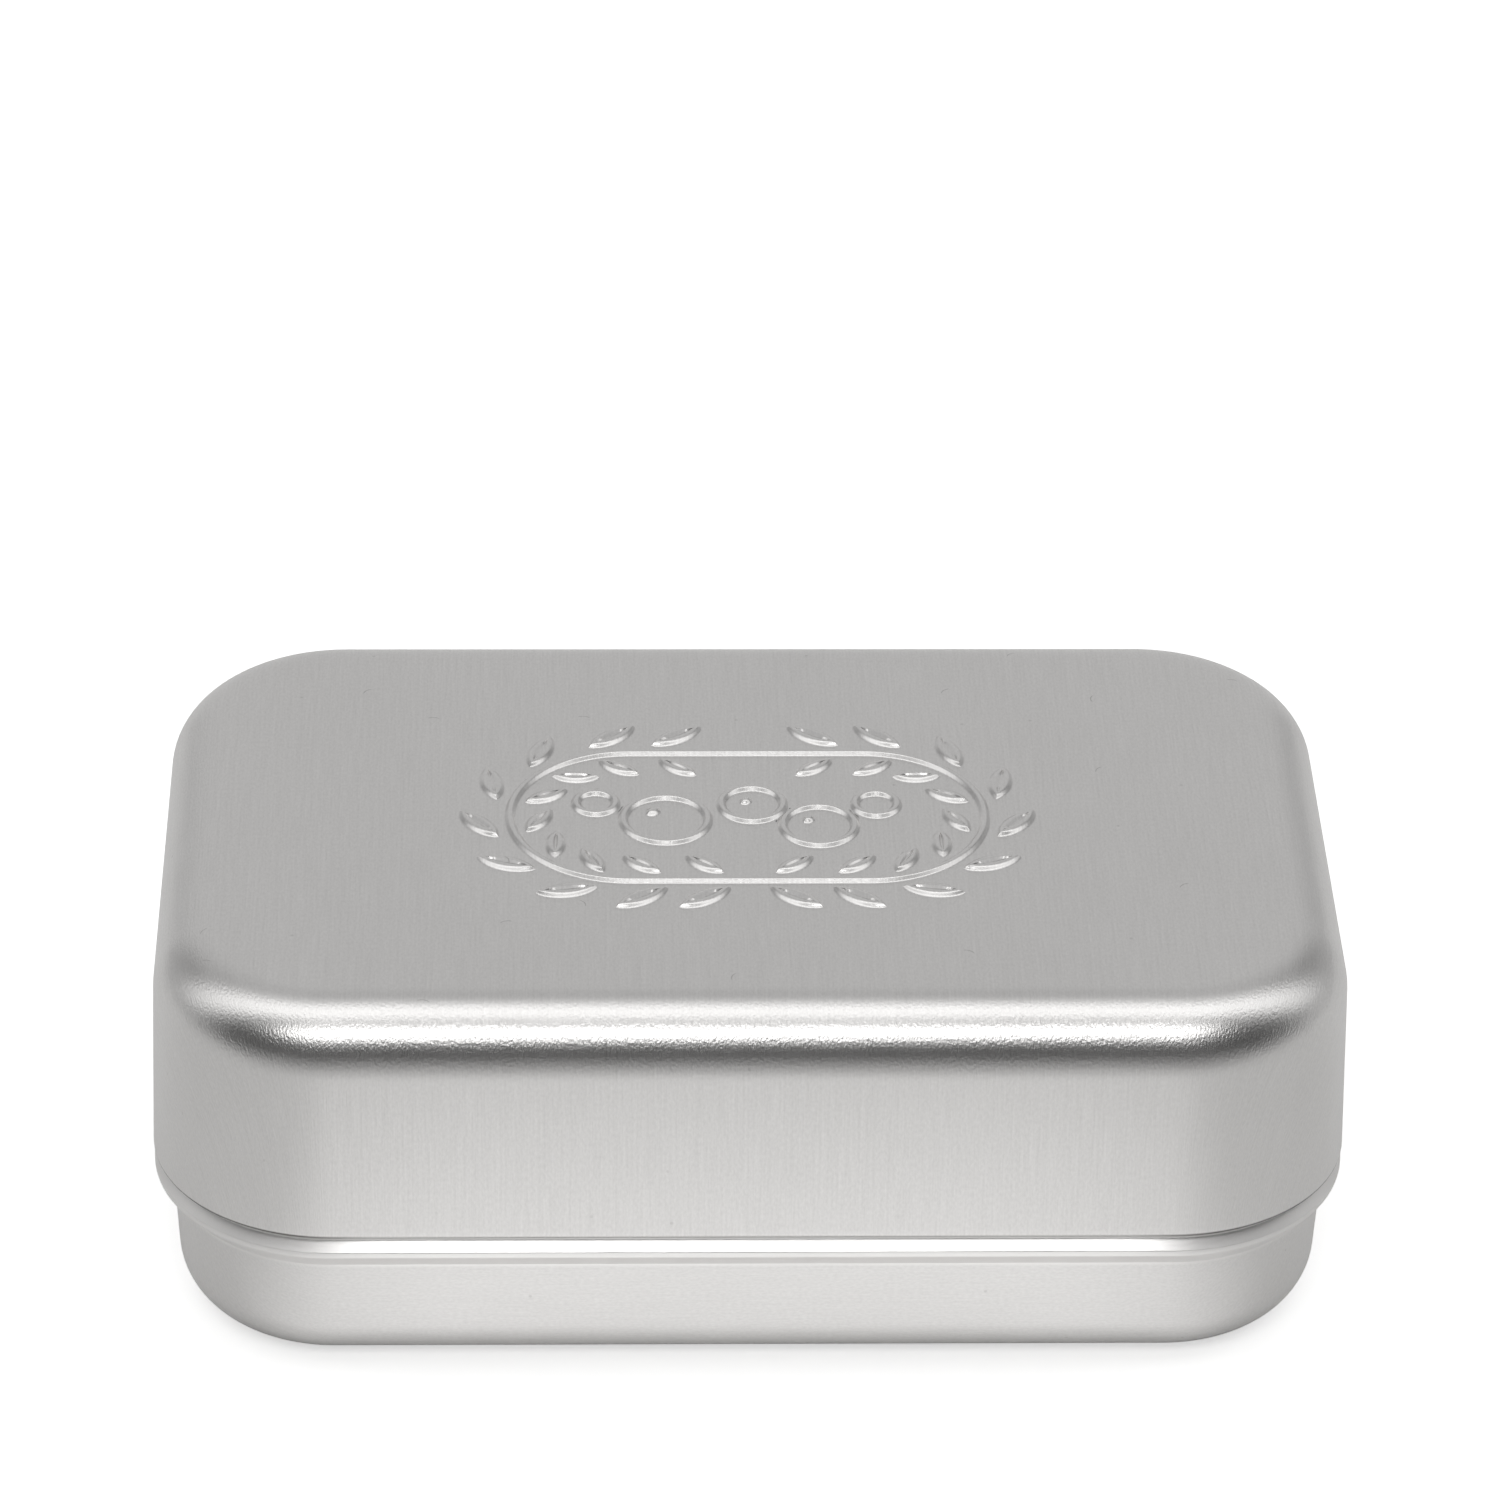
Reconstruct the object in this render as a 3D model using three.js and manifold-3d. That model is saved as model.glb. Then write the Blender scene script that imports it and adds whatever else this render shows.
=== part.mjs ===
// Aluminium soap tin: a drawn lid slips over the neck of a drawn base, and a lift-out drainer stands inside.
// Millimetres, +Z up. The origin is the middle of the base's flat bottom, and +X runs along the tin.

import * as THREE from 'three';
import { mergeVertices } from 'three/addons/utils/BufferGeometryUtils.js';
import Module from 'manifold-3d';

// The tin as a whole.
const TIN_LENGTH = 95; // over the lid's rim, along X
const TIN_WIDTH = 61; // over the lid's rim, along Y
const TIN_HEIGHT = 33.8; // from the table to the lid's flat top
const CORNER_RADIUS = 14.5; // plan corner of the lid's rim
const SHEET = 0.5; // wall of the two drawn shells
const BEND_RADIUS = 0.2; // inside radius of the sheet's tight bends

// The lid.
const RIM_HEIGHT = 14; // from the table to the lid's lower edge
const LID_EDGE_RADIUS = 5.3; // outside round between the lid's top and its wall
const LID_DRAFT = 0.55; // how far the lid's wall leans in from the rim to the top

// The base: a pan, then a stop bead that the lid comes down to, then a neck inside the lid.
const BASE_HEIGHT = 21; // from the table to the neck's top edge
const BASE_INSET = 1.52; // the pan's wall lies this far inside the lid's rim, just under the bead
const BASE_DRAFT = 0.53; // how far the pan's wall leans in from the bead to the bottom
const BASE_EDGE_RADIUS = 4.75; // outside round between the pan's wall and its bottom
const NECK_CLEARANCE = 0.25; // between the neck and the lid's inside
const SEAT_DROP = 0.15; // the bead's shoulder starts this far below the lid's rim
const BEAD_PROUD = 0.1; // the bead's nose stands this far outside the lid's rim
const BEAD_NOSE = 0.9; // height of the bead's upright nose
const BEAD_LEAN = 0.15; // the nose's lower end lies this far inside its upper end

// The drainer: a slotted plate with an upturned edge on pressed feet.
const TRAY_SHEET = 0.5;
const TRAY_CLEARANCE = 0.6; // between the drainer's edge and the pan's wall
const TRAY_RIM = 1.8; // height of the upturned edge over the plate's underside
const TRAY_BEND_RADIUS = 0.8; // outside radius of the upturned edge's bend
const REST_GAP = 0.3; // between the feet and the pan's floor
const FOOT_HEIGHT = 4.5; // from a foot's tip to the plate's underside
const FOOT_TIP_RADIUS = 2.5;
const FOOT_MOUTH_RADIUS = 4;
const FOOT_SETBACK = 8; // from the drainer's edge to a foot's axis
const SLOT_WIDTH = 3;
const SLOT_LENGTH = 17; // over the round ends, along Y
const SLOT_PITCH = 8; // between slots, along X
const SLOT_BRIDGE = 5; // metal left between the two rows of slots
const SLOT_MARGIN = 3; // least metal left between the end slots and the feet

// Fineness of the round stretches.
const CORNER_STEPS = 10;
const ARC_STEP = THREE.MathUtils.degToRad(15);
const LIP_STEPS = 4;
const FOOT_SIDES = 20;
const SLOT_END_STEPS = 8;

const wasm = await Module();
wasm.setup();

// A section's corner: x outwards from the lid's rim outline, z up, and the radius of its round.
function corner(x, z, radius = 0) {
  return { point: new THREE.Vector2(x, z), radius };
}

// Unit direction from one corner of a section to the next.
function heading(from, to) {
  return to.point.clone().sub(from.point).normalize();
}

// The points of a section with its corners rounded by tangent arcs.
function rounded(corners) {
  const points = [];
  corners.forEach(({ point, radius }, i) => {
    const inner = i > 0 && i < corners.length - 1;
    if (!inner || radius <= 0) {
      points.push(point);
      return;
    }
    const before = heading(corners[i - 1], corners[i]);
    const after = heading(corners[i], corners[i + 1]);
    const turn = Math.atan2(before.cross(after), before.dot(after));
    const start = point.clone().addScaledVector(before, -radius * Math.tan(Math.abs(turn) / 2));
    const towardsCentre = new THREE.Vector2(-before.y, before.x).multiplyScalar(Math.sign(turn));
    const centre = start.clone().addScaledVector(towardsCentre, radius);
    const steps = Math.max(2, Math.round(Math.abs(turn) / ARC_STEP));
    for (let s = 0; s <= steps; s++) {
      points.push(start.clone().rotateAround(centre, (turn * s) / steps));
    }
  });
  return points;
}

// The corners of the sheet's other face, which lies on the left of a section as it is walked.
function otherFace(corners, wall) {
  const last = corners.length - 1;
  return corners.map(({ point, radius }, i) => {
    const before = heading(corners[Math.max(i - 1, 0)], corners[Math.max(i, 1)]);
    const after = heading(corners[Math.min(i, last - 1)], corners[Math.min(i + 1, last)]);
    const mitre = new THREE.Vector2(-before.y - after.y, before.x + after.x);
    const moved = point.clone().addScaledVector(mitre, wall / (1 + before.dot(after)));
    const shrink = before.cross(after) > 0 ? wall : -wall;
    return { point: moved, radius: radius - shrink };
  });
}

// The round lip that joins the two faces of the sheet at a free edge.
function lip(from, to) {
  const centre = from.clone().lerp(to, 0.5);
  const points = [];
  for (let s = 1; s < LIP_STEPS; s++) {
    points.push(from.clone().rotateAround(centre, (Math.PI * s) / LIP_STEPS));
  }
  return points;
}

// The lid's rim outline grown outwards by the section point's x, at the height of its z.
function planRing({ x: grow, y: height }) {
  const ring = [];
  for (let quarter = 0; quarter < 4; quarter++) {
    const sideX = quarter === 0 || quarter === 3 ? 1 : -1;
    const sideY = quarter < 2 ? 1 : -1;
    const centreX = sideX * (TIN_LENGTH / 2 - CORNER_RADIUS);
    const centreY = sideY * (TIN_WIDTH / 2 - CORNER_RADIUS);
    for (let s = 0; s <= CORNER_STEPS; s++) {
      const angle = (quarter + s / CORNER_STEPS) * (Math.PI / 2);
      const x = centreX + (CORNER_RADIUS + grow) * Math.cos(angle);
      const y = centreY + (CORNER_RADIUS + grow) * Math.sin(angle);
      ring.push(new THREE.Vector3(x, y, height));
    }
  }
  return ring;
}

// A closed skin through the rings of a section, with a flat fan over its first and last ring.
function loft(section) {
  const rings = section.map(planRing);
  const count = rings[0].length;
  const lastStart = (rings.length - 1) * count;
  const firstCentre = rings.length * count;
  const lastCentre = firstCentre + 1;
  const vertices = rings.flat();
  vertices.push(new THREE.Vector3(0, 0, rings.at(0)[0].z));
  vertices.push(new THREE.Vector3(0, 0, rings.at(-1)[0].z));
  const index = [];
  for (let i = 0; i < count; i++) {
    const j = (i + 1) % count;
    for (let start = 0; start < lastStart; start += count) {
      index.push(start + i, start + j, start + count + j);
      index.push(start + i, start + count + j, start + count + i);
    }
    index.push(firstCentre, j, i);
    index.push(lastCentre, lastStart + i, lastStart + j);
  }
  const geometry = new THREE.BufferGeometry().setFromPoints(vertices);
  geometry.setIndex(index);
  return geometry;
}

// A pan of sheet: its outer face is walked from the flat bottom up to the free edge.
function pan(corners, wall) {
  const outer = rounded(corners);
  const inner = rounded(otherFace(corners, wall)).reverse();
  return loft([...outer, ...lip(outer.at(-1), inner[0]), ...inner]);
}

// A cover of sheet: its outer face is walked from the free edge up to the flat top.
function cover(corners, wall) {
  const outer = rounded(corners);
  const inner = rounded(otherFace(corners, wall)).reverse();
  return loft([...inner, ...lip(inner.at(-1), outer[0]), ...outer]);
}

// A closed geometry as a solid that can be joined and cut.
function toSolid(geometry) {
  const bare = geometry.clone();
  bare.deleteAttribute('normal');
  bare.deleteAttribute('uv');
  const merged = mergeVertices(bare);
  const vertProperties = merged.attributes.position.array;
  const triVerts = Uint32Array.from(merged.index.array);
  return new wasm.Manifold(new wasm.Mesh({ numProp: 3, vertProperties, triVerts }));
}

// The geometry of a solid.
function toGeometry(solid) {
  const { vertProperties, triVerts } = solid.getMesh();
  const geometry = new THREE.BufferGeometry();
  geometry.setAttribute('position', new THREE.BufferAttribute(vertProperties, 3));
  geometry.setIndex(new THREE.BufferAttribute(triVerts, 1));
  return geometry;
}

// An upright cone frustum between two heights.
function frustum(bottomRadius, topRadius, bottom, top) {
  const geometry = new THREE.CylinderGeometry(topRadius, bottomRadius, top - bottom, FOOT_SIDES);
  geometry.rotateX(Math.PI / 2);
  geometry.translate(0, 0, (bottom + top) / 2);
  return geometry;
}

// A round-ended slot's cutter, long in Y, between two heights.
function slotCutter(bottom, top) {
  const reach = (SLOT_LENGTH - SLOT_WIDTH) / 2;
  const outline = new THREE.Shape();
  outline.absarc(0, reach, SLOT_WIDTH / 2, 0, Math.PI);
  outline.absarc(0, -reach, SLOT_WIDTH / 2, Math.PI, 2 * Math.PI);
  const settings = { depth: top - bottom, bevelEnabled: false, curveSegments: SLOT_END_STEPS / 2 };
  const geometry = new THREE.ExtrudeGeometry(outline, settings);
  geometry.translate(0, 0, bottom);
  return geometry;
}

// Where the lid's inside lies at a height of its wall, measured outwards from the rim outline.
function lidInside(height) {
  const lean = LID_DRAFT / (TIN_HEIGHT - RIM_HEIGHT);
  return -SHEET - lean * (height - RIM_HEIGHT);
}

// Sections stop short of the plan corners' centres, where a ring's corner would shrink to a point.
const FLAT_END = -0.9 * CORNER_RADIUS;

function lidGeometry() {
  return cover(
    [
      corner(0, RIM_HEIGHT + SHEET / 2),
      corner(-LID_DRAFT, TIN_HEIGHT, LID_EDGE_RADIUS),
      corner(FLAT_END, TIN_HEIGHT),
    ],
    SHEET,
  );
}

// Both flanks of the bead slope at 45 degrees, so what runs in along x runs as far along z.
const neckFoot = lidInside(RIM_HEIGHT) - NECK_CLEARANCE;
const shoulderTop = RIM_HEIGHT - SEAT_DROP;
const noseTop = shoulderTop - (BEAD_PROUD - neckFoot);
const noseBottom = noseTop - BEAD_NOSE;
const noseBottomOut = BEAD_PROUD - BEAD_LEAN;
const beadFoot = noseBottom - (noseBottomOut + BASE_INSET);

function baseGeometry() {
  const neckTop = BASE_HEIGHT - SHEET / 2;
  return pan(
    [
      corner(FLAT_END, 0),
      corner(-BASE_INSET - BASE_DRAFT, 0, BASE_EDGE_RADIUS),
      corner(-BASE_INSET, beadFoot, BEND_RADIUS),
      corner(noseBottomOut, noseBottom, BEND_RADIUS + SHEET),
      corner(BEAD_PROUD, noseTop, BEND_RADIUS + SHEET),
      corner(neckFoot, shoulderTop, BEND_RADIUS),
      corner(lidInside(neckTop) - NECK_CLEARANCE, neckTop),
    ],
    SHEET,
  );
}

function drainTrayGeometry() {
  const footTip = SHEET + REST_GAP;
  const underside = footTip + FOOT_HEIGHT;
  const topFace = underside + TRAY_SHEET;
  const edge = -BASE_INSET - BASE_DRAFT - SHEET - TRAY_CLEARANCE;
  const plate = pan(
    [
      corner(FLAT_END, underside),
      corner(edge, underside, TRAY_BEND_RADIUS),
      corner(edge, underside + TRAY_RIM - TRAY_SHEET / 2),
    ],
    TRAY_SHEET,
  );
  let tray = toSolid(plate);

  // Four feet pressed down out of the plate, hollow from above.
  const footX = TIN_LENGTH / 2 + edge - FOOT_SETBACK;
  const footY = TIN_WIDTH / 2 + edge - FOOT_SETBACK;
  const slope = (FOOT_MOUTH_RADIUS - FOOT_TIP_RADIUS) / (topFace - footTip);
  const wallAcross = TRAY_SHEET * Math.hypot(1, slope);
  const hollowTop = topFace + TRAY_SHEET;
  const hollowTip = FOOT_TIP_RADIUS + slope * TRAY_SHEET - wallAcross;
  const hollowMouth = FOOT_MOUTH_RADIUS + slope * TRAY_SHEET - wallAcross;
  for (const x of [-footX, footX]) {
    for (const y of [-footY, footY]) {
      const foot = frustum(FOOT_TIP_RADIUS, FOOT_MOUTH_RADIUS, footTip, topFace);
      const hollow = frustum(hollowTip, hollowMouth, footTip + TRAY_SHEET, hollowTop);
      tray = tray.add(toSolid(foot.translate(x, y, 0)));
      tray = tray.subtract(toSolid(hollow.translate(x, y, 0)));
    }
  }

  // Two rows of drain slots between the feet.
  const slotReach = footX - FOOT_MOUTH_RADIUS - SLOT_MARGIN - SLOT_WIDTH / 2;
  const slotsEachSide = Math.floor(slotReach / SLOT_PITCH);
  const rowY = (SLOT_BRIDGE + SLOT_LENGTH) / 2;
  for (let n = -slotsEachSide; n <= slotsEachSide; n++) {
    for (const y of [-rowY, rowY]) {
      const cutter = slotCutter(underside - TRAY_SHEET, topFace + TRAY_SHEET);
      tray = tray.subtract(toSolid(cutter.translate(n * SLOT_PITCH, y, 0)));
    }
  }
  return toGeometry(tray);
}

function aluminium(color, roughness) {
  return new THREE.MeshStandardMaterial({ color, roughness, metalness: 1 });
}

function piece(name, geometry, material) {
  geometry.computeVertexNormals();
  const mesh = new THREE.Mesh(geometry, material);
  mesh.name = name;
  return mesh;
}

const soapTin = new THREE.Group();
soapTin.add(piece('lid', lidGeometry(), aluminium(0xd8d6d3, 0.3)));
soapTin.add(piece('base', baseGeometry(), aluminium(0xd8d6d3, 0.32)));
soapTin.add(piece('drain_tray', drainTrayGeometry(), aluminium(0xcfcdca, 0.4)));

export default soapTin;
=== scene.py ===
import math

import bpy
import numpy as np
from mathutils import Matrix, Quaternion, Vector


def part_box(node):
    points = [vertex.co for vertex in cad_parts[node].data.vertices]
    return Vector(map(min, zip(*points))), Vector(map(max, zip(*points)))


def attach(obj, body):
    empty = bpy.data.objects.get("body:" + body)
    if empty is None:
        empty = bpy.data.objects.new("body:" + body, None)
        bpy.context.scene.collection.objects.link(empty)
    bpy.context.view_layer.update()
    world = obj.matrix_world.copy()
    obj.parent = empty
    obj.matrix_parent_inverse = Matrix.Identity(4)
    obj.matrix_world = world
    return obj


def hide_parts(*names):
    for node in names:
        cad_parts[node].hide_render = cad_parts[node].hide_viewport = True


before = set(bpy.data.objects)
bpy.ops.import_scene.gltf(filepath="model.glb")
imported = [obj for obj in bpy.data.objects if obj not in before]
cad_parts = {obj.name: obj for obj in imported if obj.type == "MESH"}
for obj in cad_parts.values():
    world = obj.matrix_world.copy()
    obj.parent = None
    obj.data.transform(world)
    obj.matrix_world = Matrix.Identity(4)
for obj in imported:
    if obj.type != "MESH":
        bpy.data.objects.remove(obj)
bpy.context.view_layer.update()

# Base: one shell deep-drawn from soft aluminium sheet that was brushed along the tin's length beforehand.
# A bead is rolled outwards round it as a stop for the lid, and the neck above the bead slips into the lid.
mm = 0.001
sheet = 0.5 * mm
hold = 0.4 * mm
touching = hold / 100
lid_low, lid_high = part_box("lid")
base_low, base_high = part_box("base")
plan_corner = 14.5 * mm
core_x = lid_high.x - plan_corner
core_y = lid_high.y - plan_corner
flat_end = -0.9 * plan_corner
cut_round = 0.2 * mm
least_bend = 0.1 * mm
shell_steps = 28
smooth_angle = math.radians(40)


def select_points(piece, wanted):
    """Selects the points of a piece that pass a test on their place, and leaves it in edit mode."""
    bpy.ops.object.mode_set(mode="EDIT")
    bpy.ops.mesh.select_mode(type="VERT")
    bpy.ops.mesh.select_all(action="DESELECT")
    bpy.ops.object.mode_set(mode="OBJECT")
    for vertex in piece.data.vertices:
        vertex.select = wanted(vertex.co)
    bpy.ops.object.mode_set(mode="EDIT")


def start_point(name, place):
    """Starts a drawing at one point, and leaves it selected in edit mode."""
    bpy.ops.object.select_all(action="DESELECT")
    bpy.ops.mesh.primitive_plane_add(size=sheet, location=place)
    drawing = bpy.context.object
    drawing.name = name
    bpy.ops.object.transform_apply(location=True)
    bpy.ops.object.mode_set(mode="EDIT")
    bpy.ops.mesh.select_mode(type="VERT")
    bpy.ops.mesh.select_all(action="SELECT")
    bpy.ops.mesh.merge(type="CENTER")
    return drawing


def draw_section(name, corners, edge_x=lid_high.x, side_y=core_y):
    """Draws a sheet's section by extruding one point from corner to corner, then rounds the corners.

    A corner is (out, up, radius, steps): out from the edge at edge_x, up from the table. A straight
    stretch gets a point close to either end, which keeps it flat beside a round.
    """
    place = [Vector((edge_x + out, side_y, up)) for out, up, radius, steps in corners]
    tangent = [0.0] * len(place)
    for i in range(1, len(place) - 1):
        turn = (place[i] - place[i - 1]).angle(place[i + 1] - place[i])
        tangent[i] = corners[i][2] * math.tan(turn / 2)
    stops = [place[0]]
    for i, (here, there) in enumerate(zip(place, place[1:])):
        along = (there - here).normalized()
        if (there - here).length - tangent[i] - tangent[i + 1] > 4 * hold:
            stops.append(here + along * (tangent[i] + hold))
            stops.append(there - along * (tangent[i + 1] + hold))
        stops.append(there)
    piece = start_point(name, stops[0])
    for here, there in zip(stops, stops[1:]):
        bpy.ops.mesh.extrude_region_move(TRANSFORM_OT_translate={"value": there - here})
    for i in range(1, len(place) - 1):
        if tangent[i] > 0:
            select_points(piece, lambda point: (point - place[i]).length < touching)
            bpy.ops.mesh.bevel(affect="VERTICES", offset=tangent[i], segments=corners[i][3])
    return piece


def both_faces(corners, inwards):
    """Carries a face's section on round the sheet's cut edge and back along the sheet's other face.

    The other face lies to the left of the given one where inwards is 1, and to the right where it is -1.
    """
    place = [Vector((out, up)) for out, up, radius, steps in corners]
    along = [(there - here).normalized() for here, there in zip(place, place[1:])]
    across = [Vector((-step.y, step.x)) * inwards for step in along]
    other = [(*(place[0] + across[0] * sheet), 0, 0)]
    for i in range(1, len(place) - 1):
        mitre = (across[i - 1] + across[i]) * sheet / (1 + across[i - 1].dot(across[i]))
        bends_in = (along[i - 1].x * along[i].y - along[i - 1].y * along[i].x) * inwards > 0
        radius = max(corners[i][2] - sheet, least_bend) if bends_in else corners[i][2] + sheet
        other.append((*(place[i] + mitre), radius, corners[i][3]))
    cut = (*place[-1], cut_round, 4), (*(place[-1] + across[-1] * sheet), cut_round, 4)
    return [*corners[:-1], *cut, *reversed(other)]


def sweep_section(steps, half_x=core_x, half_y=core_y):
    """Spins the drawn section round four corner centres and extrudes it along the sides between them."""
    bpy.ops.mesh.select_all(action="SELECT")
    for centre, side in (
        ((half_x, half_y, 0), Vector((-2 * half_x, 0, 0))),
        ((-half_x, half_y, 0), Vector((0, -2 * half_y, 0))),
        ((-half_x, -half_y, 0), Vector((2 * half_x, 0, 0))),
        ((half_x, -half_y, 0), Vector((0, 2 * half_y, 0))),
    ):
        bpy.ops.mesh.spin(steps=steps, angle=math.pi / 2, center=centre, axis=(0, 0, -1))
        if side.length > 0:
            for length in (hold, side.length - 2 * hold, hold):
                step = side.normalized() * length
                bpy.ops.mesh.extrude_region_move(TRANSFORM_OT_translate={"value": step})
    bpy.ops.mesh.select_all(action="SELECT")
    bpy.ops.mesh.remove_doubles(threshold=touching)
    bpy.ops.object.mode_set(mode="OBJECT")


def close_flat(piece, level):
    """Fills the flat at one level between all open loops that lie in it, then points the faces outwards."""
    uses = np.zeros(len(piece.data.edges), int)
    for loop in piece.data.loops:
        uses[loop.edge_index] += 1
    bpy.ops.object.mode_set(mode="EDIT")
    bpy.ops.mesh.select_mode(type="EDGE")
    bpy.ops.mesh.select_all(action="DESELECT")
    bpy.ops.object.mode_set(mode="OBJECT")
    points = piece.data.vertices
    for edge in piece.data.edges:
        level_ends = all(abs(points[i].co.z - level) < touching for i in edge.vertices)
        edge.select = level_ends and uses[edge.index] < 2
    bpy.ops.object.mode_set(mode="EDIT")
    bpy.ops.mesh.fill()
    bpy.ops.mesh.select_all(action="SELECT")
    bpy.ops.mesh.normals_make_consistent(inside=False)
    bpy.ops.object.mode_set(mode="OBJECT")


def lay_out_blank(piece, flat_level, wall_reach, grain):
    """Maps a shell back to the flat blank it was drawn from, in millimetres, with the grain along V.

    The map lets the brushing bend down the walls as the sheet does. The walls stand wall_reach out from
    the middles of the corners.
    """
    points = np.empty(len(piece.data.vertices) * 3)
    piece.data.vertices.foreach_get("co", points)
    points = points.reshape(-1, 3)
    corner = np.array((core_x, core_y))
    core = np.clip(points[:, :2], -corner, corner)
    out = points[:, :2] - core
    reach = np.linalg.norm(out, axis=1, keepdims=True)
    drawn = np.minimum(reach, wall_reach) + abs(points[:, 2:] - flat_level)
    blank = (core + out / np.maximum(reach, touching / 10) * drawn) / mm
    if grain == "X":
        blank = blank[:, ::-1]
    index = np.empty(len(piece.data.loops), int)
    piece.data.loops.foreach_get("vertex_index", index)
    piece.data.uv_layers.new(name="blank").data.foreach_set("uv", blank[index].ravel())


class Finish:
    """A socket of a finish in the making: sums on it add Math nodes, and node() adds any other node."""

    def __init__(self, tree, socket=None):
        self.tree = tree
        self.socket = socket

    def node(self, kind, settings=None, sockets=None, output=0):
        made = self.tree.nodes.new(kind)
        for name, value in (settings or {}).items():
            setattr(made, name, value)
        for name, value in (sockets or {}).items():
            if isinstance(value, Finish):
                self.tree.links.new(value.socket, made.inputs[name])
            else:
                made.inputs[name].default_value = value
        return Finish(self.tree, made.outputs[output])

    def sum(self, operation, first, second):
        return self.node("ShaderNodeMath", {"operation": operation}, {0: first, 1: second})

    def __add__(self, other):
        return self.sum("ADD", self, other)

    def __sub__(self, other):
        return self.sum("SUBTRACT", self, other)

    def __rsub__(self, other):
        return self.sum("SUBTRACT", other, self)

    def __mul__(self, other):
        return self.sum("MULTIPLY", self, other)

    def __truediv__(self, other):
        return self.sum("DIVIDE", self, other)

    def __abs__(self):
        return self.node("ShaderNodeMath", {"operation": "ABSOLUTE"}, {0: self})

    __radd__ = __add__
    __rmul__ = __mul__

    def ease(self, start, end):
        """0 up to start and 1 from end on, with a soft step between them."""
        limits = {"Value": self, "From Min": start, "From Max": end}
        return self.node("ShaderNodeMapRange", {"interpolation_type": "SMOOTHSTEP"}, limits)

    def blend(self, first, second):
        """The first colour where this is 0 and the second where it is 1."""
        free = {"data_type": "RGBA", "clamp_factor": False}
        return self.node("ShaderNodeMix", free, {0: self, 6: first, 7: second}, output=2)


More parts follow.
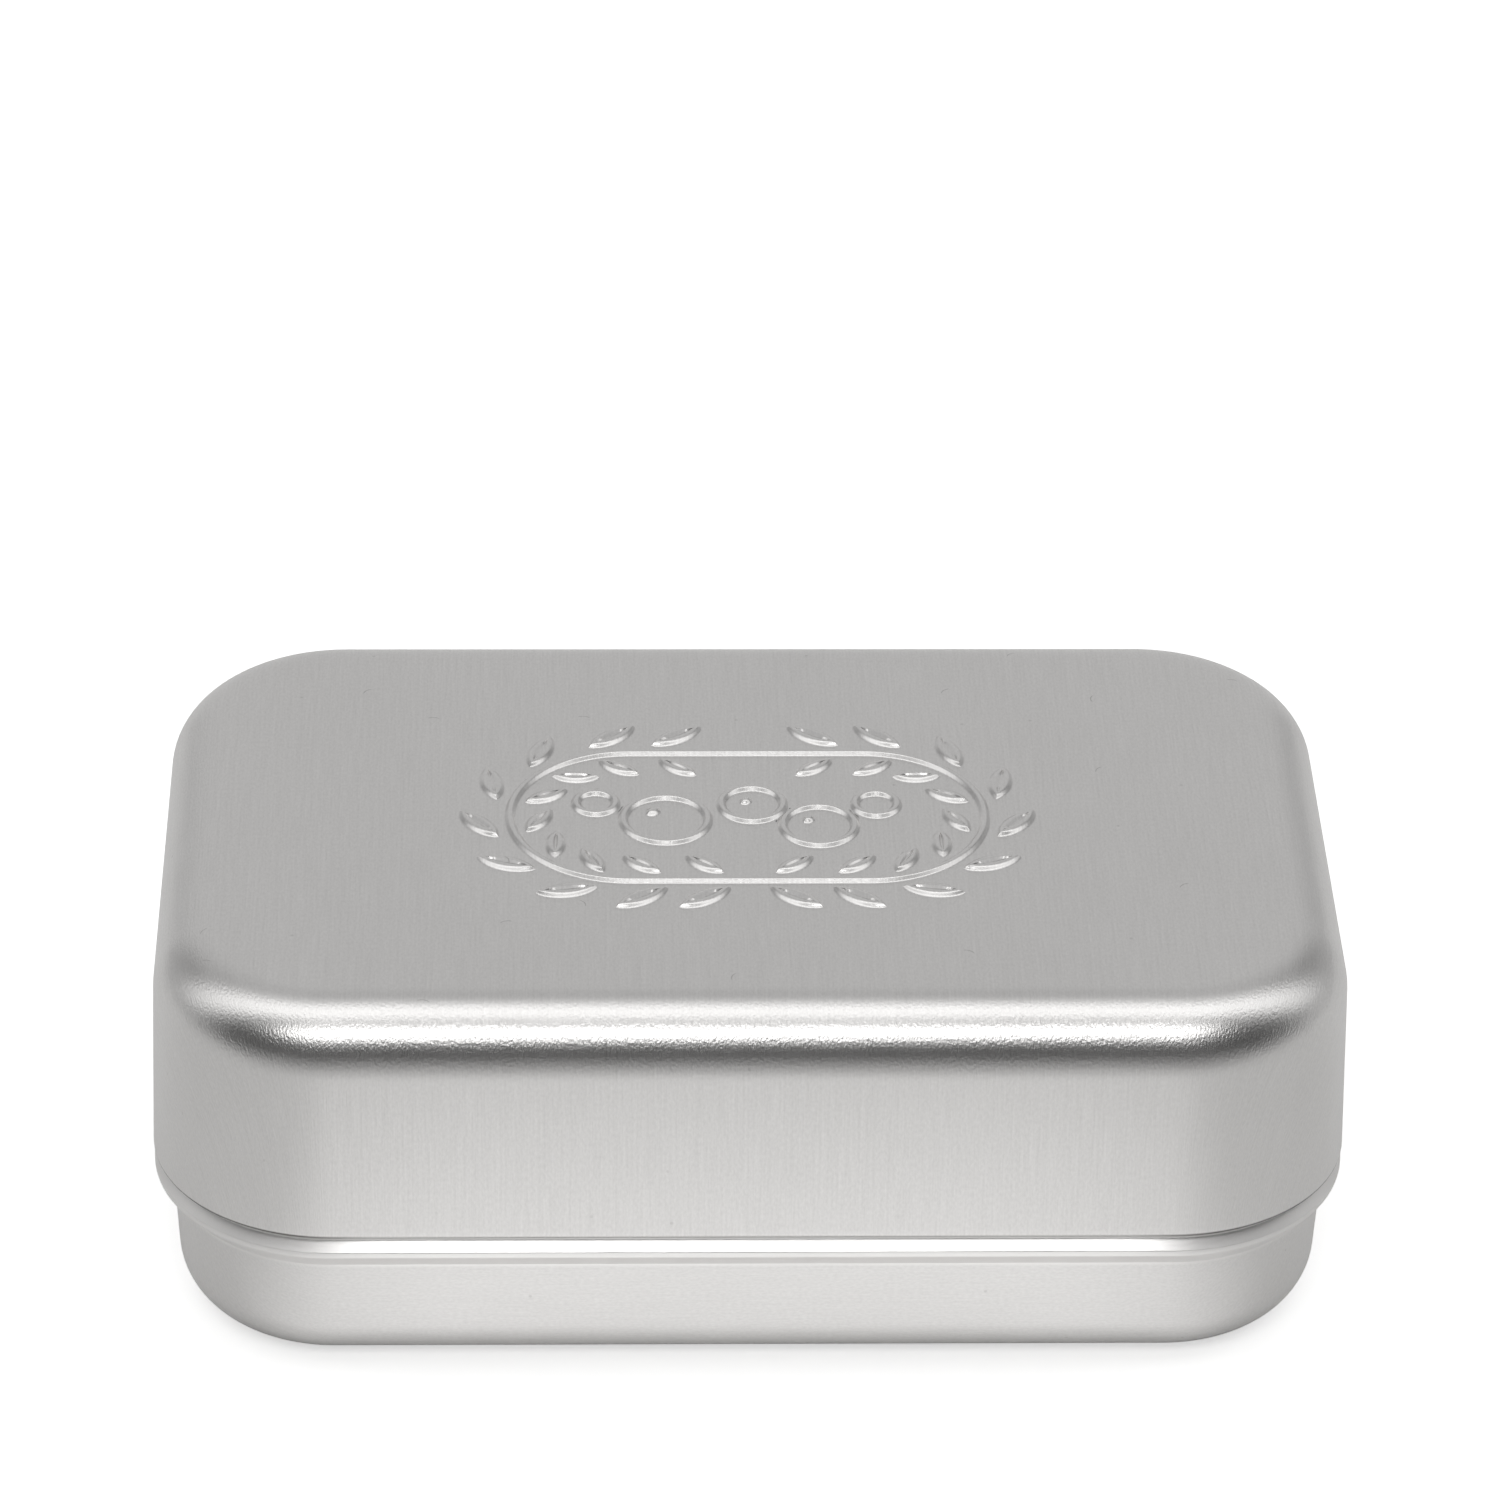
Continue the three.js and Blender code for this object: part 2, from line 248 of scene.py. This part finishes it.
def brushed_aluminium(brush, flat_level, edge_round, cut_level, cut_shade, rolled_low=0.0, rolled_high=0.0):
    """Aluminium sheet brushed along V of the blank, with a faint haze, and specks and scratches by use.

    brush is how strongly its lines show. Drawing has upset its grain round the edge of the flat. Its colour
    is painted dark along its cut edge, by cut_shade, as painted shade in the seam there, and that edge is a
    little rougher. Between the two rolled levels, if they are given, the rolled bead is rougher and painted
    lighter as a painted highlight, and a band just above is painted dark as the shade in the gap under the
    lid's rim. These show most at the corners.
    """
    dark_grain, pale_grain = (0.683, 0.673, 0.664, 1), (0.763, 0.753, 0.744, 1)
    # The pale colour is a painted highlight on the rolled bead, and the two dark colours are painted shade:
    # in the gap just above the bead, and along the cut edge.
    painted_bead_highlight, painted_gap_shade, seam_shade = (0.88, 0.87, 0.86, 1), (0.2, 0.19, 0.18, 1), (0.07, 0.067, 0.064, 1)
    plain_roughness = 0.295
    relief_depth = 14e-6
    mark_spacing = 6
    corner_fade = 4 * mm
    material = bpy.data.materials.new("brushed_aluminium")
    material.use_nodes = True
    tree = material.node_tree
    start = Finish(tree)
    blank = start.node("ShaderNodeUVMap", {"uv_map": "blank"})

    def brushing(across, along, detail):
        """Noise drawn out along the grain into lines of this width and length in millimetres."""
        drawn_out = start.node(
            "ShaderNodeVectorMath", {"operation": "MULTIPLY"}, {0: blank, 1: (1 / across, 1 / along, 0)}
        )
        return start.node(
            "ShaderNodeTexNoise",
            {"noise_dimensions": "2D"},
            {"Vector": drawn_out, "Scale": 1.0, "Detail": detail, "Roughness": 0.6},
        )

    grain = brushing(0.2, 0.4, 1)
    hair = brushing(0.2, 5, 2)
    streak = brushing(0.3, 16, 2)
    haze = brushing(14, 22, 2)

    # Marks lie scattered, one to a cell: a speck, a short bent scratch or none, by the cell's own draw.
    spacing = {0: blank, "Scale": 1 / mark_spacing}
    scattered = start.node("ShaderNodeVectorMath", {"operation": "SCALE"}, spacing)
    cells = {"Vector": scattered, "Scale": 1.0}
    from_middle, draw, middle = (
        start.node("ShaderNodeTexVoronoi", {"voronoi_dimensions": "2D"}, cells, output)
        for output in ("Distance", "Color", "Position")
    )
    chance, turn = (start.node("ShaderNodeSeparateColor", {}, {0: draw}, output=i) for i in range(2))
    speck = from_middle.ease(0.03, 0.015) * chance.ease(0.86, 0.9)
    beside = start.node("ShaderNodeVectorMath", {"operation": "SUBTRACT"}, {0: scattered, 1: middle})
    turned = start.node(
        "ShaderNodeVectorRotate", {"rotation_type": "Z_AXIS"}, {"Vector": beside, "Angle": turn * 3})
    across, along = (start.node("ShaderNodeSeparateXYZ", {}, {0: turned}, output=i) for i in range(2))
    hair_line = abs(across - along * along * 4).ease(0.01, 0.004) * abs(along).ease(0.09, 0.06)
    place = start.node("ShaderNodeTexCoord", output="Object")
    x, y, height = (start.node("ShaderNodeSeparateXYZ", {}, {0: place}, output=i) for i in range(3))
    depth = abs(height - flat_level)
    scratch = hair_line * chance.ease(0.7, 0.71) * chance.ease(0.85, 0.84) * depth.ease(0.5 * mm, 0.3 * mm)

    lines = (grain - 0.5) * 1.3 + ((hair - 0.5) * 0.7 + (streak - 0.5) * 0.45) * brush
    shade = lines + (haze - 0.5) * 0.35 + 0.5 - speck - scratch * 2.5
    colour = shade.blend(dark_grain, pale_grain)
    corner_x = abs(x).ease(core_x - corner_fade, core_x + corner_fade)
    corner_y = abs(y).ease(core_y - corner_fade, core_y + corner_fade)
    corner = corner_x * corner_y
    # Painted shade: the cut edge is darkened as the shadow of the seam there, most at the corners, and is
    # also a little rougher.
    cut = abs(height - cut_level).ease(0.3 * mm, 0.1 * mm) * (0.25 + corner * 0.75) * cut_shade
    colour = cut.blend(colour, seam_shade)
    roughness = plain_roughness + (streak - 0.5) * 0.03 + (haze - 0.5) * 0.03 + speck * 0.1 + cut * 0.1
    if rolled_high > rolled_low:
        rolled = height.ease(rolled_low - hold, rolled_low) * height.ease(rolled_high + hold / 2, rolled_high)
        # Painted shade: a band just above the shoulder, in the gap under the lid's rim, is darkened, most at
        # the corners. It is a little rougher too.
        painted_gap_band = height.ease(rolled_high, rolled_high + hold / 2) * height.ease(
            rolled_high + 2 * hold, rolled_high + hold)
        roughness = roughness + rolled * (0.04 + corner * 0.22) + painted_gap_band * 0.1
        # Painted highlight: the rolled bead's colour is lightened in place of the light it catches. Its
        # rougher finish above is the rolled sheet's own.
        colour = (rolled * 0.8).blend(colour, painted_bead_highlight)
        colour = (painted_gap_band * (0.5 + corner * 0.35)).blend(colour, painted_gap_shade)
    upset = depth.ease(0.1 * mm, 0.5 * mm) * depth.ease(edge_round, edge_round * 0.7)
    relief = (grain - 0.5) * (0.25 + upset * 1.1) + hair * 0.6 + streak * 0.3
    bump = start.node("ShaderNodeBump", {}, {"Strength": 1.0, "Distance": relief_depth, "Height": relief})
    surface = tree.nodes["Principled BSDF"]
    surface.inputs["Metallic"].default_value = 1
    tree.links.new(colour.socket, surface.inputs["Base Color"])
    tree.links.new(roughness.socket, surface.inputs["Roughness"])
    tree.links.new(bump.socket, surface.inputs["Normal"])
    return material


wall_out = -1.52 * mm
wall_lean = 0.53 * mm
base_edge_round = 4.75 * mm
bend_in = 0.2 * mm
bead_foot = 10.45 * mm
nose_out = -0.05 * mm
nose_low = 12.1 * mm
nose_high = 12.58 * mm
nose_round = 0.5 * mm
nose_edge = 0.1 * mm
shoulder_out = -0.78 * mm
shoulder = 13.33 * mm
shoulder_bend = 0.12 * mm
neck_out = -0.94 * mm
base_face = [
    (flat_end, base_low.z, 0, 0),
    (wall_out - wall_lean, base_low.z, base_edge_round, 24),
    (wall_out, bead_foot, bend_in, 5),
    (nose_out, nose_low, nose_round, 8),
    (nose_out, nose_high, nose_edge, 6),
    (shoulder_out, shoulder, shoulder_bend, 5),
    (neck_out, base_high.z, 0, 0),
]
base = draw_section("base_shell", both_faces(base_face, 1))
sweep_section(shell_steps)
close_flat(base, base_low.z)
close_flat(base, base_low.z + sheet)
bpy.ops.object.shade_smooth_by_angle(angle=smooth_angle)
lay_out_blank(base, base_low.z, plan_corner + wall_out, "X")
base_finish = brushed_aluminium(
    brush=0.75, flat_level=base_low.z, edge_round=base_edge_round, cut_level=base_high.z, cut_shade=0.3,
    rolled_low=bead_foot, rolled_high=shoulder)
base.data.materials.append(base_finish)
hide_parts("base")
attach(base, "base")

# Drainer: a plate pressed from plain aluminium sheet, with an upturned edge, two rows of drain slots and
# four feet pressed down out of it. It stands loose on the base's floor and lifts out.
tray_low, tray_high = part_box("drain_tray")
tray_underside = 5.3 * mm
tray_edge = tray_high.x - lid_high.x
tray_bend = 0.8 * mm
tray_flat_end = tray_edge - 1.35 * mm
tray_steps = 24
tray = draw_section(
    "drain_tray_plate",
    [
        (tray_flat_end, tray_underside, 0, 0),
        (tray_edge, tray_underside, tray_bend, 6),
        (tray_edge, tray_high.z, 0, 0),
    ],
)
sweep_section(tray_steps)

foot_mouth = 3.85 * mm
foot_mouth_round = 0.6 * mm
foot_skirt = 0.9 * mm
foot_taper = 1.35 * mm
foot_toe_round = 0.8 * mm
foot_toe_in = 3.2 * mm
foot_setback = 8 * mm
foot_steps = 10
foot = draw_section(
    "foot",
    [
        (foot_skirt, tray_underside, 0, 0),
        (0, tray_underside, foot_mouth_round, 5),
        (-foot_taper, tray_low.z, foot_toe_round, 6),
        (-foot_toe_in, tray_low.z, 0, 0),
    ],
    edge_x=foot_mouth,
    side_y=0,
)
sweep_section(foot_steps, 0, 0)
close_flat(foot, tray_low.z)


def place_copy(piece, place, turn=0.0, size=1.0):
    """A copy of a pressed shape, with its own mesh, turned about the upright."""
    copy = piece.copy()
    copy.data = piece.data.copy()
    bpy.context.scene.collection.objects.link(copy)
    copy.location = place
    copy.rotation_euler = (0, 0, turn)
    copy.scale = (size, size, 1)
    return copy


pressed = []
for side_x in (-1, 1):
    for side_y in (-1, 1):
        foot_x = side_x * (tray_high.x - foot_setback)
        foot_y = side_y * (tray_high.y - foot_setback)
        pressed.append(place_copy(foot, (foot_x, foot_y, 0)))
bpy.data.objects.remove(foot)

slot_width = 3 * mm
slot_length = 17 * mm
slot_pitch = 8 * mm
slot_row = 11 * mm
slot_points = 24
half_step = math.pi / slot_points
bpy.ops.object.select_all(action="DESELECT")
bpy.ops.mesh.primitive_circle_add(vertices=slot_points, radius=slot_width / 2 / math.cos(half_step))
slot = bpy.context.object
bpy.ops.object.mode_set(mode="EDIT")
bpy.ops.transform.rotate(value=half_step, orient_axis="Z", center_override=(0, 0, 0))
for side in (-1, 1):
    select_points(slot, lambda point: point.y * side > 0)
    bpy.ops.transform.translate(value=(0, side * (slot_length - slot_width) / 2, 0))
bpy.ops.object.mode_set(mode="OBJECT")
for column in range(-3, 4):
    for row in (-1, 1):
        pressed.append(place_copy(slot, (column * slot_pitch, row * slot_row, tray_underside)))
bpy.data.objects.remove(slot)


def join_into(piece, others):
    """Joins other meshes into a piece."""
    bpy.ops.object.select_all(action="DESELECT")
    for other in others:
        other.select_set(True)
    piece.select_set(True)
    bpy.context.view_layer.objects.active = piece
    bpy.ops.object.join()


def finish_sheet(piece, ease, cut_low, cut_high):
    """Gives a skin the sheet's thickness inwards, eases its cut edges between two levels and smooths it."""
    cut_angle = math.radians(60)
    thickness = piece.modifiers.new("thickness", "SOLIDIFY")
    thickness.thickness = sheet
    thickness.offset = -1
    bpy.ops.object.modifier_apply(modifier="thickness")
    bpy.ops.object.mode_set(mode="EDIT")
    bpy.ops.mesh.select_mode(type="EDGE")
    bpy.ops.mesh.select_all(action="DESELECT")
    bpy.ops.mesh.edges_select_sharp(sharpness=cut_angle)
    bpy.ops.object.mode_set(mode="OBJECT")
    points = piece.data.vertices
    for edge in piece.data.edges:
        if not all(cut_low < points[i].co.z < cut_high for i in edge.vertices):
            edge.select = False
    bpy.ops.object.mode_set(mode="EDIT")
    bpy.ops.mesh.bevel(offset=ease, segments=4)
    bpy.ops.object.mode_set(mode="OBJECT")
    bpy.ops.object.shade_smooth_by_angle(angle=smooth_angle)


cut_ease = 0.12 * mm
join_into(tray, pressed)
close_flat(tray, tray_underside)
finish_sheet(tray, cut_ease, tray_low.z, tray_high.z + sheet)


def plain_aluminium():
    """Aluminium sheet as pressed: a fine even grain, faint rolling lines along the plate, soft clouds."""
    dark_grain, pale_grain = (0.66, 0.655, 0.648, 1), (0.73, 0.725, 0.717, 1)
    plain_roughness = 0.34
    relief_depth = 6e-6
    material = bpy.data.materials.new("plain_aluminium")
    material.use_nodes = True
    tree = material.node_tree
    start = Finish(tree)
    place = start.node("ShaderNodeTexCoord", output="Object")

    def noise(size, detail):
        """Noise with grains of this size in millimetres along each axis."""
        per_metre = tuple(1 / (length * mm) for length in size)
        scaled = start.node("ShaderNodeVectorMath", {"operation": "MULTIPLY"}, {0: place, 1: per_metre})
        return start.node("ShaderNodeTexNoise", {}, {"Vector": scaled, "Scale": 1.0, "Detail": detail})

    grain = noise((0.15, 0.15, 0.15), 2)
    rolling = noise((30, 0.3, 0.3), 2)
    cloud = noise((9, 9, 9), 2)
    shade = (rolling - 0.5) * 0.6 + (cloud - 0.5) * 0.8 + 0.5
    colour = shade.blend(dark_grain, pale_grain)
    roughness = plain_roughness + (cloud - 0.5) * 0.12 + (grain - 0.5) * 0.06
    relief = grain * 0.6 + rolling * 0.5
    bump = start.node("ShaderNodeBump", {}, {"Strength": 1.0, "Distance": relief_depth, "Height": relief})
    surface = tree.nodes["Principled BSDF"]
    surface.inputs["Metallic"].default_value = 1
    tree.links.new(colour.socket, surface.inputs["Base Color"])
    tree.links.new(roughness.socket, surface.inputs["Roughness"])
    tree.links.new(bump.socket, surface.inputs["Normal"])
    return material


tray.data.materials.append(plain_aluminium())
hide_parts("drain_tray")
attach(tray, "drain_tray")

# Lid: one shell deep-drawn from the same sheet, brushed along the tin's depth. It slips over the neck
# and comes down to the bead. A wreath round a few soap bubbles is pressed up into its top from inside,
# so the underside carries the same relief sunk in.
lid_edge_round = 5.3 * mm
lid_lean = 0.55 * mm
lid_top = lid_high.z
lid_face = [
    (flat_end, lid_top, 0, 0),
    (-lid_lean, lid_top, lid_edge_round, 28),
    (0, lid_low.z, 0, 0),
]
lid = draw_section("lid_shell", both_faces(lid_face, -1))
sweep_section(shell_steps)

relief_height = 0.3 * mm
ridge_reach, ridge_foot, ridge_crest = 0.62 * mm, 0.44 * mm, 0.15 * mm
ridge_bend, crest_bend = 0.25 * mm, 0.2 * mm
ridge = [
    (ridge_reach, lid_top, 0, 0),
    (ridge_foot, lid_top, ridge_bend, 3),
    (ridge_crest, lid_top + relief_height, crest_bend, 3),
    (-ridge_crest, lid_top + relief_height, crest_bend, 3),
    (-ridge_foot, lid_top, ridge_bend, 3),
    (-ridge_reach, lid_top, 0, 0),
]
stem_half = 9.5 * mm
stem_round = 9.6 * mm
motifs = [draw_section("stem", ridge, stem_half + stem_round, 0)]
sweep_section(shell_steps, stem_half, 0)

bubbles = ((-6.6, -0.6, 3.4), (0.4, 1.7, 2.5), (5.7, -1.5, 2.9), (10.4, 1.7, 1.7), (-12.2, 1.9, 1.6))
bubble_steps = 10
for bubble_x, bubble_y, radius in bubbles:
    bubble = draw_section("bubble", ridge, radius * mm, 0)
    sweep_section(bubble_steps, 0, 0)
    bubble.location = (bubble_x * mm, bubble_y * mm, 0)
    motifs.append(bubble)


def press_leaf(length, width, vein):
    """A leaf in outline, stepped in and up from the flat ring by ring, with a sunk vein if asked."""
    rim, slope, slope_steps, arc_steps = 0.15 * mm, 0.6 * mm, 6, 16
    half, thick = length / 2, width / 2
    bow = (half * half + thick * thick) / (2 * thick)
    leaf = start_point("leaf", (-half, 0, lid_top))
    bow_angle = 2 * math.asin(half / bow)
    bpy.ops.mesh.spin(steps=arc_steps, angle=bow_angle, center=(0, thick - bow, lid_top), axis=(0, 0, 1))
    bpy.ops.mesh.select_all(action="SELECT")
    bpy.ops.mesh.symmetrize(direction="POSITIVE_Y", threshold=touching)
    bpy.ops.mesh.select_all(action="SELECT")
    bpy.ops.mesh.remove_doubles(threshold=touching)
    rings = [(rim, 0)]
    for step in range(1, slope_steps + 1):
        rise = (1 - math.cos(math.pi * step / slope_steps)) / 2
        rings.append((rim + slope * step / slope_steps, relief_height * rise))
    if vein:
        inner = thick - rings[-1][0]
        rings.append((thick - 0.5 * inner, relief_height))
        rings.append((thick - 0.15 * inner, 0.6 * relief_height))
    for (inset_before, up_before), (inset, up) in zip([(0, 0)] + rings, rings):
        bpy.ops.mesh.extrude_region_move(TRANSFORM_OT_translate={"value": (0, 0, up - up_before)})
        narrow = (thick - inset) / (thick - inset_before)
        shorten = (half - inset) / (half - inset_before)
        bpy.ops.transform.resize(value=(shorten, narrow, 1), center_override=(0, 0, 0))
    bpy.ops.mesh.edge_face_add()
    bpy.ops.object.mode_set(mode="OBJECT")
    return leaf


outer_leaf = press_leaf(5.6 * mm, 2.6 * mm, True)
inner_leaf = press_leaf(4.5 * mm, 2.3 * mm, True)
glint = press_leaf(2.0 * mm, 1.7 * mm, False)
leaf_pairs, first_leaf, leaf_pitch = 9, 3.6 * mm, 5 * mm
for station in range(leaf_pairs):
    along = first_leaf + leaf_pitch * station
    bend = min(max((along - stem_half) / stem_round, 0), math.pi)
    on_stem = Vector((stem_half, 0)) + stem_round * Vector((math.sin(bend), -math.cos(bend)))
    on_stem.x += min(along - stem_half, 0) - max(along - stem_half - math.pi * stem_round, 0)
    outwards = Vector((math.sin(bend), -math.cos(bend)))
    for leaf, offset, tilt in ((outer_leaf, 2.55 * mm, -34), (inner_leaf, -2.3 * mm, 38)):
        at = on_stem + offset * outwards
        turn = bend + math.radians(tilt)
        motifs.append(place_copy(leaf, (at.x, at.y, 0), turn))
        motifs.append(place_copy(leaf, (-at.x, at.y, 0), -turn))
glint_turn = math.radians(45)
for glint_x, glint_y, size in ((-7.6, 0.6, 1.0), (-0.1, 2.2, 0.8), (4.9, -0.6, 0.8)):
    motifs.append(place_copy(glint, (glint_x * mm, glint_y * mm, 0), glint_turn, size))
for used in (outer_leaf, inner_leaf, glint):
    bpy.data.objects.remove(used)
for motif in list(motifs):
    inside = (*motif.location.xy, -sheet)
    motifs.append(place_copy(motif, inside, motif.rotation_euler.z, motif.scale.x))
join_into(lid, motifs)
close_flat(lid, lid_top)
close_flat(lid, lid_top - sheet)
bpy.ops.object.shade_smooth_by_angle(angle=smooth_angle)
lay_out_blank(lid, lid_top, plan_corner - lid_lean, "Y")
lid_finish = brushed_aluminium(
    brush=1.35, flat_level=lid_top, edge_round=lid_edge_round, cut_level=lid_low.z, cut_shade=1.0)
lid.data.materials.append(lid_finish)
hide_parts("lid")
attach(lid, "lid")

# Floor: a plain white table top. What the camera sees of it is lifted to white, with the tin's shadow kept.
# The metal sees a lit pool in front of the tin, and to either side a table painted grey as shade. The table
# fades out towards the camera, and it is clear from below and under the flat that the tin stands on.
bpy.ops.object.select_all(action="DESELECT")
bpy.ops.mesh.primitive_plane_add(size=1, location=(0, 0.2, 0))
floor = bpy.context.object
floor.name = "floor"
floor.scale = (1.6, 1.2, 1)
bpy.ops.object.transform_apply(location=True, scale=True)
floor_finish = bpy.data.materials.new("white_table")
floor_finish.use_nodes = True
tree = floor_finish.node_tree
tree.nodes.clear()
start = Finish(tree)
place = start.node("ShaderNodeTexCoord", output="Object")
x, y = (start.node("ShaderNodeSeparateXYZ", {}, {0: place}, output=i) for i in range(2))
camera_ray = start.node("ShaderNodeLightPath", output="Is Camera Ray")
glossy_ray = start.node("ShaderNodeLightPath", output="Is Glossy Ray")
table_white, table_shade = (0.9, 0.9, 0.895, 1), (0.83, 0.83, 0.825, 1)
camera_lift, pool_lift = 0.55, 0.44
# Painted shade: the table's colour goes grey to either side of the tin, where the metal reflects it, in place
# of less light falling there.
side_shade = abs(x).ease(0.055, 0.09) * y.ease(0.015, -0.015)
white = start.node("ShaderNodeBsdfDiffuse", {}, {"Color": side_shade.blend(table_white, table_shade)})
pool = abs(x).ease(0.057, 0.023) * y.ease(-0.12, -0.03) * y.ease(-0.0245, -0.0325)
lift = camera_ray * camera_lift + glossy_ray * pool * pool_lift
glow = start.node("ShaderNodeEmission", {}, {"Color": (1, 1, 1, 1), "Strength": lift})
table = start.node("ShaderNodeAddShader", {}, {0: white, 1: glow})
below = start.node("ShaderNodeNewGeometry", output="Backfacing")
beside = [start.sum("MAXIMUM", abs(along) - core, 0) for along, core in ((x, core_x), (y, core_y))]
reach = start.sum("POWER", beside[0] * beside[0] + beside[1] * beside[1], 0.5)
footing = plan_corner + wall_out - wall_lean - base_edge_round
footing_fade = 0.3 * mm
there = y.ease(-0.33, -0.05) * (1 - below) * reach.ease(footing - footing_fade, footing)
clear = start.node("ShaderNodeBsdfTransparent")
seen = start.node("ShaderNodeMixShader", {}, {0: there, 1: clear, 2: table})
output = tree.nodes.new("ShaderNodeOutputMaterial")
tree.links.new(seen.socket, output.inputs["Surface"])
floor.data.materials.append(floor_finish)

# Studio: a grey room that is darker behind the camera and in two nooks at the back, with a long soft light
# overhead from side to side and a softbox high in front. The camera sees plain white, and the metal sees a
# part of that white as a wall at the back. x, y and z are the parts of the direction looked in.
world = bpy.data.worlds.new("studio")
bpy.context.scene.world = world
world.use_nodes = True
tree = world.node_tree
tree.nodes.clear()
start = Finish(tree)
towards = start.node("ShaderNodeTexCoord", output="Generated")
x, y, z = (start.node("ShaderNodeSeparateXYZ", {}, {0: towards}, output=i) for i in range(3))
room_level, nook_shade, box_level, wall_share = 0.42, 0.2, 3.0, 0.32
front = (0 - y).ease(-0.05, 0.4)
dark = 0.37 - z.ease(0.45, 0.9) * 0.17 - z.ease(0.25, -0.05) * 0.28
nook = abs(x).ease(0.22, 0.5) * y.ease(0.2, 0.4) * y.ease(0.8, 0.65) * z.ease(0.2, 0.5)
room = room_level - front * dark - nook * nook_shade

spread = (y - 0.35 + z * 0.4) / (0.1 + z * 0.14)
skirt = spread / (1.5 + abs(x).ease(0.45, 0.1) * 0.2 + abs(x).ease(0.55, 0.75) * 0.5)
strip = skirt.ease(-1, -0.25) * spread.ease(2.0, 0.3) * z.ease(0.05, 0.35)
strip_level = 0.14 + z * 0.87 + z * z * 0.2

box_up, box_front = 0.777, 0.629
facing = z * box_up - y * box_front
across = x / facing
upright = (y * box_up + z * box_front) / facing
box_low = (upright + 0.23 - abs(across) * 0.55 - across * 0.13).ease(-0.04, 0.04)
box_high = (upright + abs(across) * 0.2).ease(0.24, 0.14)
box = box_low * box_high * abs(across).ease(0.62, 0.42) * facing.ease(0.1, 0.3)

light = room + strip * strip_level + box * box_level
wall = abs(x + 0.03).ease(0.68, 0.42) * y.ease(0.2, 0.5) * (0.35 + z.ease(0.82, 0.6) * 0.65)
camera_ray = start.node("ShaderNodeLightPath", output="Is Camera Ray")
glossy_ray = start.node("ShaderNodeLightPath", output="Is Glossy Ray")
white = camera_ray + glossy_ray * wall * wall_share
level = light + white * (1 - light)
studio = start.node("ShaderNodeBackground", {}, {"Color": (1, 1, 1, 1), "Strength": level})
output = tree.nodes.new("ShaderNodeOutputWorld")
tree.links.new(studio.socket, output.inputs["Surface"])
bpy.context.scene.view_settings.view_transform = "Standard"

# Camera: a long lens a little over half a metre away, in front of the tin and just left of its middle,
# looking down at it by about 32 degrees.
camera_data = bpy.data.cameras.new("camera")
camera = bpy.data.objects.new("camera", camera_data)
bpy.context.scene.collection.objects.link(camera)
bpy.context.scene.camera = camera
camera.location = (-14.52 * mm, -476.47 * mm, 333.42 * mm)
aim = Vector((0.12 * mm, 0, 40.04 * mm))
camera_roll = math.radians(0.87)
roll = Quaternion((0, 0, 1), camera_roll)
camera.rotation_mode = "QUATERNION"
camera.rotation_quaternion = (aim - camera.location).to_track_quat("-Z", "Y") @ roll
camera_data.sensor_width = 36
camera_data.lens = 167.96
camera_data.clip_start, camera_data.clip_end = 0.05, 20
